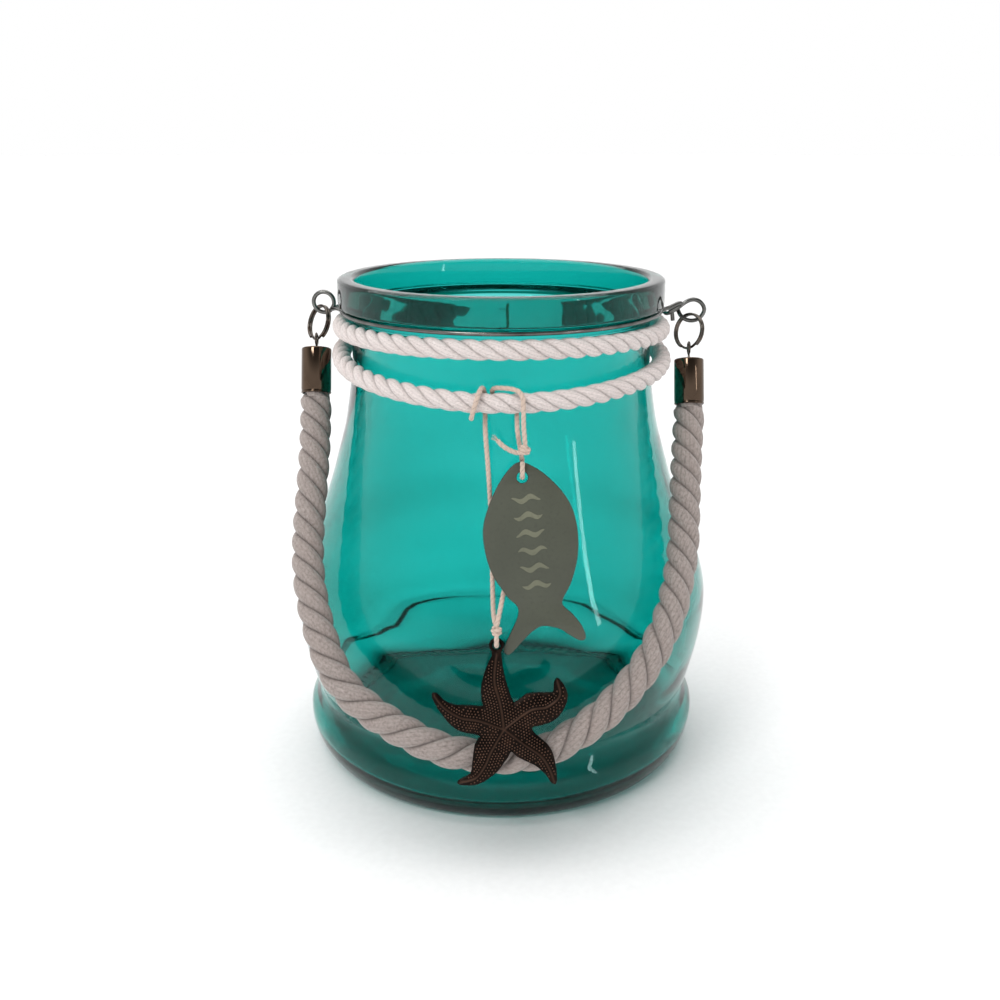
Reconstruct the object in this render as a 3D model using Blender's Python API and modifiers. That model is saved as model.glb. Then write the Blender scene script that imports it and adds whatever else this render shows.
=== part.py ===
"""Teal glass jar lantern with a rope handle, a fish tag and a starfish pendant.

The jar stands on z = 0 with its axis on Z. The front of the lantern faces -Y.
Every length is in metres. Each object is one physical piece.
"""
import math

import bpy
from mathutils import Matrix, Vector

MM = 0.001
GAP = 0.3 * MM

# ---- jar ----
JAR_SEGMENTS = 56
RIM_TOP = 168.5 * MM
RIM_RADIUS = 55.0 * MM
FLOOR_HEIGHT = 9.0 * MM
# (radius, height) in millimetres, from the middle of the floor up the inside
JAR_INSIDE = [
    (0.0, 4.2), (44.0, 3.9), (58.0, 3.7), (64.4, 4.7), (67.8, 8.4), (68.2, 13.0), (66.3, 17.6),
    (64.8, 22.0), (65.6, 27.5), (68.0, 36.0), (69.8, 45.0), (70.8, 55.0), (70.0, 63.5),
    (64.2, 80.5), (57.2, 99.5), (51.2, 121.0), (49.0, 136.0), (48.3, 148.0), (48.6, 158.0),
    (49.2, 166.6), (49.8, 168.0),
]
# (radius, height) in millimetres, over the rim and down the outside to the foot
JAR_OUTSIDE = [
    (50.5, 168.5), (53.6, 168.5), (54.6, 168.0), (55.0, 167.0), (55.0, 160.2), (54.6, 159.4),
    (53.3, 159.2), (53.0, 157.6), (51.9, 156.2), (50.8, 155.2), (50.5, 153.0), (50.7, 147.0),
    (51.5, 136.0), (53.9, 121.0), (56.7, 110.5), (60.0, 99.5), (63.4, 90.0), (67.1, 80.5),
    (70.9, 71.5), (73.3, 63.0), (74.0, 55.0), (73.1, 45.0), (71.4, 36.0), (69.6, 28.5),
    (68.0, 24.0), (67.7, 21.5), (69.0, 18.5), (71.2, 14.8), (71.3, 10.5), (70.0, 5.5),
    (67.6, 1.6), (65.0, 0.0), (0.0, 0.0),
]

# ---- collar wire ----
WIRE_RADIUS = 0.7 * MM
COLLAR_RADIUS = 54.1 * MM
COLLAR_HEIGHT = 158.0 * MM
LEFT_LOOP_CENTRE = Vector((-60.3, 0.0, 159.5)) * MM
LEFT_LOOP_RADIUS = 3.5 * MM
LEFT_LOOP_PITCH = 0.8 * MM
# route of the two hooked ends on the right side, in millimetres
HAIRPIN_ROUTE = [
    (57.0, -1.8, 156.6), (58.3, -1.75, 157.3), (59.7, -1.8, 158.1), (60.7, -2.2, 158.9),
    (60.8, -2.9, 159.4), (60.0, -3.5, 159.6), (58.4, -3.8, 159.0), (56.5, -4.6, 158.3),
]
HOOK_ROUTE = [
    (55.3, 2.7, 156.5), (56.5, 0.7, 155.6), (58.2, 0.1, 156.3), (60.2, 0.0, 157.5),
    (62.0, -0.1, 159.0), (63.7, -0.1, 160.0), (65.6, 0.0, 160.35), (67.5, 0.0, 159.7),
    (68.8, 0.0, 158.3), (69.2, 0.0, 156.6), (68.4, 0.1, 154.8), (67.0, 0.2, 153.6),
    (65.3, 0.2, 153.2), (63.6, 0.3, 153.4), (62.2, 0.6, 154.1), (61.2, 1.2, 155.2),
    (60.6, 1.9, 156.5), (59.9, 2.1, 157.6), (58.9, 2.1, 157.6), (58.5, 2.1, 156.5),
    (58.8, 2.1, 154.6), (59.0, 2.1, 152.9),
]

# ---- neck rope: two turns, its ends meet at the back ----
NECK_ROPE_RADIUS = 3.15 * MM
# (turned angle from the back in degrees, radius, height) in millimetres
NECK_ROPE_STATIONS = [
    (25, 56.0, 152.4), (60, 54.8, 152.4), (90, 54.1, 152.5), (135, 54.0, 153.0),
    (180, 54.1, 153.2), (225, 54.1, 152.7), (270, 54.2, 151.6), (305, 54.9, 151.4),
    (335, 56.0, 150.8), (360, 56.4, 148.2), (385, 56.1, 145.4), (415, 55.0, 144.4),
    (450, 54.5, 143.6), (490, 55.6, 140.4), (525, 56.9, 138.2), (540, 57.1, 137.9),
    (558, 56.9, 138.1), (590, 55.8, 139.8), (630, 54.7, 142.0), (662, 54.9, 143.6),
    (692, 56.0, 143.6),
]

# ---- ties and strings ----
STRING_RADIUS = 0.75 * MM
TIE_RADIUS = 0.6 * MM

# ---- handle ----
HANDLE_TILT = math.radians(21.0)
RING_RADIUS = 5.8 * MM
RING_WIRE_RADIUS = 0.44 * MM
RING_PITCH = 0.95 * MM
RING_OPEN_HALF_ANGLE = math.radians(32.0)
RING_SEAT = 2.15 * MM
RING_YAW = math.radians(-52.0)
PIVOT_LEFT = Vector((-61.7, 0.5, 156.05)) * MM
PIVOT_RIGHT = Vector((64.3, 0.2, 153.2)) * MM
LEAN_LEFT = math.radians(-8.0)
LEAN_RIGHT = math.radians(-1.0)
EYE_RADIUS = 1.95 * MM
EYE_WIRE_RADIUS = 0.37 * MM
CAP_DROP_LEFT = 3.1 * MM
CAP_DROP_RIGHT = 3.9 * MM
CAP_RADIUS = 5.05 * MM
CAP_LENGTH = 15.5 * MM
CAP_WALL = 0.45 * MM
CAP_HOLE_RADIUS = 0.8 * MM
HANDLE_ROPE_RADIUS = 5.25 * MM
ROPE_START = 4.2 * MM
# the rope between the two caps, in millimetres, left to right
HANDLE_ROPE_ROUTE = [
    (-62.7, -20.5, 113.5), (-63.0, -28.8, 101.7), (-63.3, -37.2, 90.5), (-62.9, -43.6, 82.5),
    (-61.7, -49.2, 75.7), (-59.6, -54.8, 68.8), (-56.8, -60.3, 61.9), (-53.0, -65.4, 54.6),
    (-48.3, -69.5, 49.0), (-42.5, -72.6, 44.9), (-36.1, -75.0, 41.3), (-28.2, -77.5, 37.6),
    (-18.9, -79.6, 34.2), (-9.6, -80.6, 32.6), (1.2, -81.0, 32.1), (12.0, -80.4, 33.4),
    (18.2, -79.2, 35.8), (24.4, -77.4, 38.9), (30.5, -75.0, 42.5), (36.4, -72.3, 47.1),
    (42.4, -68.4, 52.7), (47.0, -64.8, 58.0), (51.7, -59.5, 65.3), (54.6, -54.6, 70.4),
    (56.7, -49.4, 75.9), (58.6, -43.9, 82.1), (59.7, -39.2, 87.9), (60.9, -30.8, 98.9),
    (62.2, -21.9, 111.2),
]

# ---- fish tag ----
TAG_HOLE = Vector((6.3, -62.7, 116.6)) * MM
TAG_TILT = math.radians(15.3)
TAG_THICKNESS = 1.6 * MM
TAG_HOLE_RADIUS = 1.7 * MM
# outline about the hole, in millimetres, clockwise from the nose
TAG_OUTLINE = [
    (-0.4, 4.6), (3.4, 3.2), (7.1, 0.7), (11.9, -4.1), (15.2, -9.8), (16.7, -17.0),
    (16.5, -24.5), (14.7, -31.5), (12.4, -36.2), (12.3, -38.4), (15.3, -41.2), (18.1, -44.8),
    (19.2, -48.2), (17.5, -49.1), (14.1, -47.3), (11.1, -45.5), (6.6, -44.7), (3.9, -45.8),
    (1.2, -48.2), (-3.0, -52.8), (-4.6, -53.4), (-5.5, -51.5), (-3.1, -46.1), (-1.3, -41.8),
    (-1.5, -38.8), (-4.6, -35.7), (-9.4, -28.2), (-11.6, -19.5), (-11.3, -12.6), (-7.9, -3.5),
    (-3.6, 2.9),
]

# ---- starfish pendant ----
STAR_HOLE = Vector((-1.4, -78.3, 68.8)) * MM
STAR_TILT = math.radians(16.5)
STAR_THICKNESS = 2.4 * MM
STAR_HOLE_RADIUS = 1.25 * MM
STAR_EYE_RADIUS = 2.3 * MM
# each arm's middle line from root to tip as (x, y, half width), in millimetres
STAR_ARMS = [
    [(10.0, -19.6, 5.2), (15.3, -18.4, 4.7), (18.9, -15.0, 2.6), (18.2, -10.6, 1.0)],
    [(8.7, -30.0, 4.5), (13.3, -33.3, 3.7), (16.0, -37.6, 2.1), (17.4, -41.4, 0.9)],
    [(-1.6, -32.0, 5.4), (-3.5, -36.3, 4.2), (-6.5, -40.2, 2.2), (-11.2, -41.6, 0.8)],
    [(-5.2, -22.7, 4.4), (-10.5, -21.8, 4.0), (-15.5, -18.9, 2.0), (-18.7, -15.0, 1.0)],
]
STAR_NOTCHES = [(5.2, -17.3), (10.4, -24.7), (4.4, -32.0), (-4.9, -27.2), (-3.9, -18.7)]
STAR_TOP_ARM_RIGHT = [(1.5, -2.5), (1.9, -6.2), (2.5, -9.5), (3.5, -12.8), (4.5, -15.8)]
STAR_TOP_ARM_LEFT = [(-4.6, -16.2), (-4.7, -13.0), (-4.0, -9.5), (-2.8, -5.9), (-1.5, -3.2)]

# ---- strings: from a loose end over and round the neck rope, then down ----
STRING_SEAT = Vector((0.0, -57.1, 137.9)) * MM
STRING_REACH = NECK_ROPE_RADIUS + STRING_RADIUS + 0.65 * MM
FISH_STRING_START = [
    (-1.2, -64.6, 128.6), (0.6, -64.0, 126.6), (3.2, -63.4, 124.9), (5.6, -62.9, 124.3),
    (7.0, -62.8, 125.6), (6.9, -62.7, 128.6), (6.6, -62.3, 132.5),
]
# turns round the neck rope: (across in millimetres, turned degrees from the front over the top)
FISH_STRING_WRAP = [
    (6.5, 12), (6.2, 38), (5.2, 62), (3.2, 80), (0.6, 92), (-1.7, 112), (-2.7, 138),
    (-2.3, 162), (-0.4, 178), (1.8, 186), (3.7, 194), (4.6, 212),
]
FISH_STRING_DOWN = [(4.8, -59.9, 130.9), (5.3, -60.1, 127.0), (5.9, -60.1, 123.5)]
FISH_KNOT_POINT = 3
FISH_KNOT_SIZE = 1.7
STAR_STRING_WRAP = [
    (-8.9, -105), (-8.9, -75), (-8.7, -45), (-8.2, -15), (-7.5, 15), (-6.8, 45), (-6.1, 75),
    (-5.6, 105), (-5.2, 135), (-4.9, 165), (-4.8, 195),
]
STAR_STRING_DOWN = [
    (-4.8, -56.7, 132.0), (-4.7, -59.6, 129.6), (-4.5, -60.8, 126.8), (-4.0, -60.9, 120.0),
    (-3.5, -61.0, 112.0), (-3.1, -62.3, 103.0), (-2.8, -65.3, 93.0), (-2.6, -68.8, 82.5),
    (-2.3, -72.0, 75.8),
]
# the other strand, from the starfish's eye up behind the tag
STAR_STRING_UP = [
    (-0.7, -75.4, 77.2), (0.2, -72.0, 80.4), (1.2, -69.1, 84.6), (2.3, -67.0, 89.5),
    (3.6, -64.5, 97.5), (4.6, -62.5, 105.5), (5.1, -61.4, 111.8),
]
# how a string goes through a hanging plate's hole: (up, out) from the hole, in millimetres
TAG_THREADING = [(4.6, -2.3), (2.4, -2.4), (0.7, -2.0), (0.0, -1.0), (0.0, 0.4), (0.3, 1.6),
                 (1.4, 2.3), (3.0, 2.2), (4.8, 2.1)]
STAR_THREADING = [(4.6, -2.4), (2.4, -2.5), (0.8, -2.3), (0.0, -1.3), (0.0, 0.4), (0.3, 1.9),
                  (1.6, 2.6), (3.2, 2.5), (5.0, 1.6)]


def material(name, colour, roughness, metallic, alpha=1.0):
    """A plain Principled material."""
    made = bpy.data.materials.new(name)
    made.use_nodes = True
    shader = made.node_tree.nodes["Principled BSDF"]
    shader.inputs["Base Color"].default_value = (*colour, 1.0)
    shader.inputs["Roughness"].default_value = roughness
    shader.inputs["Metallic"].default_value = metallic
    shader.inputs["Alpha"].default_value = alpha
    made.diffuse_color = (*colour, alpha)
    return made


def add_object(name, data, surface):
    """Link one object, with its material, into the lantern's collection."""
    made = bpy.data.objects.new(name, data)
    data.materials.append(surface)
    LANTERN.objects.link(made)
    return made


def add_empty(name, place, parent=None):
    """An empty on a joint's axis, for the pieces that turn there."""
    made = bpy.data.objects.new(name, None)
    made.empty_display_size = 0.01
    LANTERN.objects.link(made)
    made.location = place - (parent.location if parent else Vector())
    made.parent = parent
    return made


def hang_on(piece, empty):
    """Parent a piece to a joint's empty, keeping it where it was modelled."""
    place = empty.location.copy()
    above = empty.parent
    while above:
        place += above.location
        above = above.parent
    piece.parent = empty
    piece.matrix_parent_inverse = Matrix.Translation(-place)


def smooth_line(points, steps, cyclic=False):
    """Points of a Catmull-Rom curve through the given points."""
    count = len(points)
    spans = count if cyclic else count - 1
    line = []
    for i in range(spans):
        if cyclic:
            a, b, c, d = (points[(i + k - 1) % count] for k in range(4))
        else:
            b, c = points[i], points[i + 1]
            a = points[i - 1] if i else b * 2 - c
            d = points[i + 2] if i + 2 < count else c * 2 - b
        for k in range(steps):
            t = k / steps
            line.append(
                (b * 2 + (c - a) * t + (a * 2 - b * 5 + c * 4 - d) * t * t
                 + (b * 3 - a - c * 3 + d) * t ** 3) * 0.5
            )
    if not cyclic:
        line.append(points[-1].copy())
    return line


def millimetres(points):
    """Hand-picked millimetre points as vectors in metres."""
    return [Vector(p) * MM for p in points]


def tube(name, line, radius, surface, factors=None):
    """A round wire, string or rope along a line."""
    curve = bpy.data.curves.new(name, "CURVE")
    curve.dimensions = "3D"
    curve.bevel_depth = radius
    curve.bevel_resolution = 2
    curve.use_fill_caps = True
    curve.twist_mode = "MINIMUM"
    spline = curve.splines.new("POLY")
    spline.points.add(len(line) - 1)
    for i, place in enumerate(line):
        spline.points[i].co = (*place, 1.0)
        spline.points[i].radius = factors[i] if factors else 1.0
    return add_object(name, curve, surface)


def turned(name, profile, segments, surface, closed=False):
    """A turned piece: a (radius, height) profile with a Screw modifier about Z."""
    mesh = bpy.data.meshes.new(name)
    places = [(r, 0.0, z) for r, z in profile]
    edges = [(i, i + 1) for i in range(len(places) - 1)]
    if closed:
        edges.append((len(places) - 1, 0))
    mesh.from_pydata(places, edges, [])
    made = add_object(name, mesh, surface)
    screw = made.modifiers.new("Turn", "SCREW")
    screw.steps = segments
    screw.render_steps = segments
    screw.use_merge_vertices = True
    screw.merge_threshold = 0.00001
    screw.use_smooth_shade = True
    return made


def flat_plate(name, outline, hole_radius, thickness, surface):
    """A flat plate with a round hole at its own origin."""
    curve = bpy.data.curves.new(name, "CURVE")
    curve.dimensions = "2D"
    curve.fill_mode = "BOTH"
    curve.extrude = thickness / 2
    turn = [2 * math.pi * i / 16 for i in range(16)]
    hole = [Vector((math.cos(a), math.sin(a))) * hole_radius for a in turn]
    for ring in (outline, hole):
        spline = curve.splines.new("POLY")
        spline.points.add(len(ring) - 1)
        spline.use_cyclic_u = True
        for i, place in enumerate(ring):
            spline.points[i].co = (place.x, place.y, 0.0, 1.0)
    return add_object(name, curve, surface)


def stand_plate(plate, place, tilt):
    """Stand a flat plate upright at a point, its foot tilted away from the jar."""
    plate.location = place
    plate.rotation_euler = (math.pi / 2 - tilt, 0.0, 0.0)


def threading(hole, tilt, steps):
    """A string's points through a plate's hole, given up and out of the plate."""
    up = Vector((0.0, math.sin(tilt), math.cos(tilt)))
    out = Vector((0.0, -math.cos(tilt), math.sin(tilt)))
    return [hole + (up * a + out * b) * MM for a, b in steps]


def wrap(stations):
    """A string's turn round the neck rope in front of the jar."""
    line = []
    for across, degrees in stations:
        angle = math.radians(degrees)
        line.append(STRING_SEAT + Vector((
            across * MM, -STRING_REACH * math.cos(angle), STRING_REACH * math.sin(angle),
        )))
    return line


def hang_direction(lean):
    """The way down along the tilted handle, with a sideways lean."""
    return Vector((
        math.sin(lean),
        -math.sin(HANDLE_TILT) * math.cos(lean),
        -math.cos(HANDLE_TILT) * math.cos(lean),
    ))


def collar_line():
    """The one wire: hairpin end, front, left loop, back, hooked end."""
    line = smooth_line(millimetres(HAIRPIN_ROUTE), 2)[:-1]
    for degrees in range(-9, -172, -6):
        line.append(collar_point(degrees))
    line.append(Vector((-55.9, -2.5, 157.7)) * MM)
    for degrees in range(-38, 323, 20):
        angle = math.radians(degrees)
        shift = (degrees - 142) / 180 * LEFT_LOOP_PITCH
        line.append(LEFT_LOOP_CENTRE + Vector((
            LEFT_LOOP_RADIUS * math.cos(angle), shift, LEFT_LOOP_RADIUS * math.sin(angle),
        )))
    line.append(Vector((-55.9, 2.5, 157.7)) * MM)
    for degrees in range(171, 6, -6):
        line.append(collar_point(degrees))
    line += smooth_line(millimetres(HOOK_ROUTE), 2)
    return line


def collar_point(degrees):
    """A point on the wire's circle under the rim."""
    angle = math.radians(degrees)
    return Vector((
        COLLAR_RADIUS * math.cos(angle), COLLAR_RADIUS * math.sin(angle), COLLAR_HEIGHT,
    ))


def neck_rope_line():
    """Two turns of rope that start and end at the back."""
    line = []
    for turned_by, radius, height in smooth_line([Vector(s) for s in NECK_ROPE_STATIONS], 4):
        angle = math.radians(90.0 + turned_by)
        line.append(Vector((
            radius * math.cos(angle), radius * math.sin(angle), height,
        )) * MM)
    return line


def back_tie_line():
    """A string wound twice round the neck rope at the back, with a loose end."""
    middle = Vector((0.0, 56.4, 148.2)) * MM
    reach = NECK_ROPE_RADIUS + TIE_RADIUS + 2 * GAP
    line = []
    for i in range(19):
        angle = math.radians(-60 + 40 * i)
        line.append(middle + Vector((
            (i - 9) * 0.17 * MM, reach * math.cos(angle), reach * math.sin(angle),
        )))
    line += millimetres([(2.2, 60.9, 147.0), (2.6, 61.6, 143.0), (3.2, 61.2, 138.0)])
    return line


def ring_line(pivot, lean):
    """The split ring's coil, single where the eye hangs in it."""
    down = hang_direction(lean)
    centre = pivot + down * (RING_RADIUS - RING_SEAT)
    across = Vector((math.cos(RING_YAW), math.sin(RING_YAW), 0.0))
    across = (across - down * across.dot(down)).normalized()
    axis = down.cross(across)
    steps = 34
    start = RING_OPEN_HALF_ANGLE
    end = 4 * math.pi - RING_OPEN_HALF_ANGLE
    line = []
    for i in range(steps + 1):
        angle = start + (end - start) * i / steps
        shift = RING_PITCH / 2 * max(-1.0, min(1.0, (angle - 2 * math.pi) / RING_OPEN_HALF_ANGLE))
        line.append(
            centre + (down * math.cos(angle) + across * math.sin(angle)) * RING_RADIUS
            + axis * shift
        )
    return line


def ring_bottom(pivot, lean):
    """Where the eye hangs in the split ring."""
    return pivot + hang_direction(lean) * (2 * RING_RADIUS - RING_SEAT)


def cap_top(pivot, lean, drop):
    """The middle of an end cap's top."""
    return ring_bottom(pivot, lean) + hang_direction(0.0) * drop


def eye_line(pivot, lean, drop):
    """An eye round the split ring's wire, with its shank down into the cap."""
    centre = ring_bottom(pivot, lean)
    down = hang_direction(0.0)
    side = Vector((1.0, 0.0, 0.0)).cross(down)
    line = []
    for i in range(15):
        angle = math.radians(28 + 332 / 14 * i)
        line.append(centre + (down * math.cos(angle) + side * math.sin(angle)) * EYE_RADIUS)
    line.append(centre + down * (EYE_RADIUS + 0.8 * MM))
    line.append(centre + down * (drop + 2.6 * MM))
    return line


def make_cap(name, pivot, lean, drop, surface):
    """A metal cup over the rope's end, with a hole for the eye."""
    hole, wall, outer, length = CAP_HOLE_RADIUS, CAP_WALL, CAP_RADIUS, CAP_LENGTH
    edge = 0.5 * MM
    profile = [
        (hole, 0.0), (outer - edge, 0.0), (outer - edge * 0.3, -edge * 0.3), (outer, -edge),
        (outer, -length), (outer - wall, -length), (outer - wall, -wall), (hole, -wall),
    ]
    cap = turned(name, profile, 28, surface, closed=True)
    cap.location = cap_top(pivot, lean, drop)
    cap.rotation_euler = (-HANDLE_TILT, 0.0, 0.0)
    return cap


def handle_rope_line():
    """The rope from inside the left cap, round in front, into the right cap."""
    down = hang_direction(0.0)
    left = cap_top(PIVOT_LEFT, LEAN_LEFT, CAP_DROP_LEFT)
    right = cap_top(PIVOT_RIGHT, LEAN_RIGHT, CAP_DROP_RIGHT)
    left_mouth = left + down * (CAP_LENGTH + 2.0 * MM)
    right_mouth = right + down * (CAP_LENGTH + 2.0 * MM)
    middle = smooth_line([left_mouth] + millimetres(HANDLE_ROPE_ROUTE) + [right_mouth], 2)
    line = [left + down * ROPE_START, left + down * (CAP_LENGTH + GAP)]
    line += middle
    line += [right + down * (CAP_LENGTH + GAP), right + down * ROPE_START]
    return line


def handle_rope_factors(count):
    """The rope is squeezed thinner inside the caps."""
    thin = (CAP_RADIUS - CAP_WALL - GAP) / HANDLE_ROPE_RADIUS
    return [thin, thin] + [1.0] * (count - 4) + [thin, thin]


def arm_sides(stations, steps):
    """Both sides of a starfish arm, going out one side, round the tip and back."""
    middle = smooth_line([Vector(s) for s in stations], steps)
    out, back = [], []
    for i, place in enumerate(middle):
        ahead = middle[min(i + 1, len(middle) - 1)]
        behind = middle[max(i - 1, 0)]
        along = Vector((ahead.x - behind.x, ahead.y - behind.y)).normalized()
        side = Vector((-along.y, along.x)) * place.z
        out.append(Vector((place.x, place.y)) + side)
        back.append(Vector((place.x, place.y)) - side)
    tip = Vector((middle[-1].x, middle[-1].y)) + along * middle[-1].z
    return out + [tip] + back[::-1]


def star_outline():
    """The starfish outline with its hanging eye, clockwise from the eye."""
    eye = []
    for i in range(9):
        angle = math.radians(232 - 284 / 8 * i)
        eye.append(Vector((math.cos(angle), math.sin(angle))) * STAR_EYE_RADIUS)
    outline = eye + [Vector(p) * MM for p in STAR_TOP_ARM_RIGHT]
    for notch, arm in zip(STAR_NOTCHES, STAR_ARMS):
        outline.append(Vector(notch) * MM)
        outline += [p * MM for p in arm_sides(arm, 3)]
    outline.append(Vector(STAR_NOTCHES[-1]) * MM)
    outline += [Vector(p) * MM for p in STAR_TOP_ARM_LEFT]
    return outline


def tag_outline():
    """The fish outline about its hole."""
    return [p * MM for p in smooth_line([Vector(p) for p in TAG_OUTLINE], 2, cyclic=True)]


def build_jar():
    glass = material("teal_glass", (0.03, 0.42, 0.38), 0.05, 0.0, 0.5)
    steel = material("dark_steel_wire", (0.22, 0.22, 0.21), 0.35, 1.0)
    cotton = material("white_cotton_rope", (0.62, 0.56, 0.53), 0.9, 0.0)
    twine = material("olive_twine", (0.25, 0.24, 0.15), 0.9, 0.0)
    profile = [(r * MM, z * MM) for r, z in JAR_INSIDE + JAR_OUTSIDE]
    turned("glass_jar", profile, JAR_SEGMENTS, glass)
    tube("collar_wire", collar_line(), WIRE_RADIUS, steel)
    tube("neck_rope", neck_rope_line(), NECK_ROPE_RADIUS, cotton)
    tube("back_tie", back_tie_line(), TIE_RADIUS, twine)


def build_handle():
    steel = material("ring_steel", (0.2, 0.19, 0.18), 0.3, 1.0)
    gunmetal = material("gunmetal", (0.2, 0.16, 0.13), 0.12, 1.0)
    cotton = material("grey_cotton_rope", (0.42, 0.38, 0.35), 0.92, 0.0)
    left_pivot = add_empty("ring_left_axis", PIVOT_LEFT)
    right_pivot = add_empty("ring_right_axis", PIVOT_RIGHT)
    left_ring = tube("split_ring_left", ring_line(PIVOT_LEFT, LEAN_LEFT), RING_WIRE_RADIUS, steel)
    right_ring = tube(
        "split_ring_right", ring_line(PIVOT_RIGHT, LEAN_RIGHT), RING_WIRE_RADIUS, steel
    )
    hang_on(left_ring, left_pivot)
    hang_on(right_ring, right_pivot)
    handle = add_empty("handle_axis", ring_bottom(PIVOT_LEFT, LEAN_LEFT), left_pivot)
    left = (PIVOT_LEFT, LEAN_LEFT, CAP_DROP_LEFT)
    right = (PIVOT_RIGHT, LEAN_RIGHT, CAP_DROP_RIGHT)
    rope = handle_rope_line()
    pieces = [
        tube("eye_pin_left", eye_line(*left), EYE_WIRE_RADIUS, steel),
        tube("eye_pin_right", eye_line(*right), EYE_WIRE_RADIUS, steel),
        make_cap("end_cap_left", *left, gunmetal),
        make_cap("end_cap_right", *right, gunmetal),
        tube("handle_rope", rope, HANDLE_ROPE_RADIUS, cotton, handle_rope_factors(len(rope))),
    ]
    for piece in pieces:
        hang_on(piece, handle)


def build_pendants():
    tag_paint = material("tag_grey_green", (0.16, 0.17, 0.12), 0.6, 0.0)
    bronze = material("antique_bronze", (0.06, 0.045, 0.035), 0.35, 1.0)
    cotton = material("cream_string", (0.6, 0.48, 0.4), 0.9, 0.0)
    string_axis = add_empty("string_axis", STRING_SEAT)
    tag_axis = add_empty("tag_axis", TAG_HOLE, string_axis)
    star_axis = add_empty("star_axis", STAR_HOLE, string_axis)
    tag = flat_plate("fish_tag", tag_outline(), TAG_HOLE_RADIUS, TAG_THICKNESS, tag_paint)
    stand_plate(tag, TAG_HOLE, TAG_TILT)
    star = flat_plate(
        "starfish_pendant", star_outline(), STAR_HOLE_RADIUS, STAR_THICKNESS, bronze
    )
    stand_plate(star, STAR_HOLE, STAR_TILT)
    fish_line = millimetres(FISH_STRING_START) + wrap(FISH_STRING_WRAP)
    fish_line += millimetres(FISH_STRING_DOWN) + threading(TAG_HOLE, TAG_TILT, TAG_THREADING)
    fish_line = smooth_line(fish_line, 2)
    factors = [1.0] * len(fish_line)
    factors[FISH_KNOT_POINT * 2] = FISH_KNOT_SIZE
    fish_string = tube("fish_string", fish_line, STRING_RADIUS, cotton, factors)
    star_line = wrap(STAR_STRING_WRAP) + millimetres(STAR_STRING_DOWN)
    star_line += threading(STAR_HOLE, STAR_TILT, STAR_THREADING) + millimetres(STAR_STRING_UP)
    star_string = tube("star_string", smooth_line(star_line, 2), STRING_RADIUS, cotton)
    hang_on(fish_string, string_axis)
    hang_on(star_string, string_axis)
    hang_on(tag, tag_axis)
    hang_on(star, star_axis)


for old in list(bpy.data.objects):
    bpy.data.objects.remove(old, do_unlink=True)
LANTERN = bpy.data.collections.new("jar_lantern")
bpy.context.scene.collection.children.link(LANTERN)
build_jar()
build_handle()
build_pendants()
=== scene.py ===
import math
import random

import bmesh
import bpy
import numpy as np
from mathutils import Matrix, Vector


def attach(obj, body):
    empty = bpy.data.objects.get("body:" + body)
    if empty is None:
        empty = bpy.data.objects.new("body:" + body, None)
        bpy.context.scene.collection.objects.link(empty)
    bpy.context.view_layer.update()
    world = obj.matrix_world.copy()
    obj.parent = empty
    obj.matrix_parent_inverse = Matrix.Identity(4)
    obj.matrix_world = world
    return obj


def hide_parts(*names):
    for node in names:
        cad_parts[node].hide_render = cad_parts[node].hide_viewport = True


# A teal glass jar lantern. Numbers are millimetres and degrees unless a name says otherwise.
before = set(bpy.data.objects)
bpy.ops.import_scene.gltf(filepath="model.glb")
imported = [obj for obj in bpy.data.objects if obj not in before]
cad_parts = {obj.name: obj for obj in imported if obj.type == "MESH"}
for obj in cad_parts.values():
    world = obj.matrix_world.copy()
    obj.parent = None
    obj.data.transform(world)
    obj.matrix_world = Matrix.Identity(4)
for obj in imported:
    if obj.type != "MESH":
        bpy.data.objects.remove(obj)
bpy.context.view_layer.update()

MM = 0.001
rng = random.Random(4)
STEP_SCALE = 1


# ------------------------------------------------------------------ routes, as in the CAD model
JAR_INSIDE = [
    (0.0, 4.2), (44.0, 3.9), (58.0, 3.7), (64.4, 4.7), (67.8, 8.4), (68.2, 13.0), (66.3, 17.6),
    (64.8, 22.0), (65.6, 27.5), (68.0, 36.0), (69.8, 45.0), (70.8, 55.0), (70.0, 63.5),
    (64.2, 80.5), (57.2, 99.5), (51.2, 121.0), (49.0, 136.0), (48.3, 148.0), (48.6, 158.0),
    (49.2, 166.6), (49.8, 168.0),
]
JAR_OUTSIDE = [
    (50.5, 168.5), (53.6, 168.5), (54.6, 168.0), (55.0, 167.0), (55.0, 160.2), (54.6, 159.4),
    (53.3, 159.2), (53.0, 157.6), (51.9, 156.2), (50.8, 155.2), (50.5, 153.0), (50.7, 147.0),
    (51.5, 136.0), (53.9, 121.0), (56.7, 110.5), (60.0, 99.5), (63.4, 90.0), (67.1, 80.5),
    (70.9, 71.5), (73.3, 63.0), (74.0, 55.0), (73.1, 45.0), (71.4, 36.0), (69.6, 28.5),
    (68.0, 24.0), (67.7, 21.5), (69.0, 18.5), (71.2, 14.8), (71.3, 10.5), (70.0, 5.5),
    (67.6, 1.6), (65.2, 0.1), (62.0, 0.05), (58.5, 0.3), (55.0, 0.9), (46.0, 1.4),
    (25.0, 1.7), (0.0, 1.8),
]
COLLAR_RADIUS, COLLAR_HEIGHT = 54.1, 158.0
LEFT_LOOP_CENTRE = (-60.3, 0.0, 159.5)
LEFT_LOOP_RADIUS, LEFT_LOOP_PITCH = 3.5, 0.8
HAIRPIN_ROUTE = [
    (57.0, -1.8, 156.6), (58.3, -1.75, 157.3), (59.7, -1.8, 158.1), (60.7, -2.2, 158.9),
    (60.8, -2.9, 159.4), (60.0, -3.5, 159.6), (58.4, -3.8, 159.0), (56.5, -4.6, 158.3),
]
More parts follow.
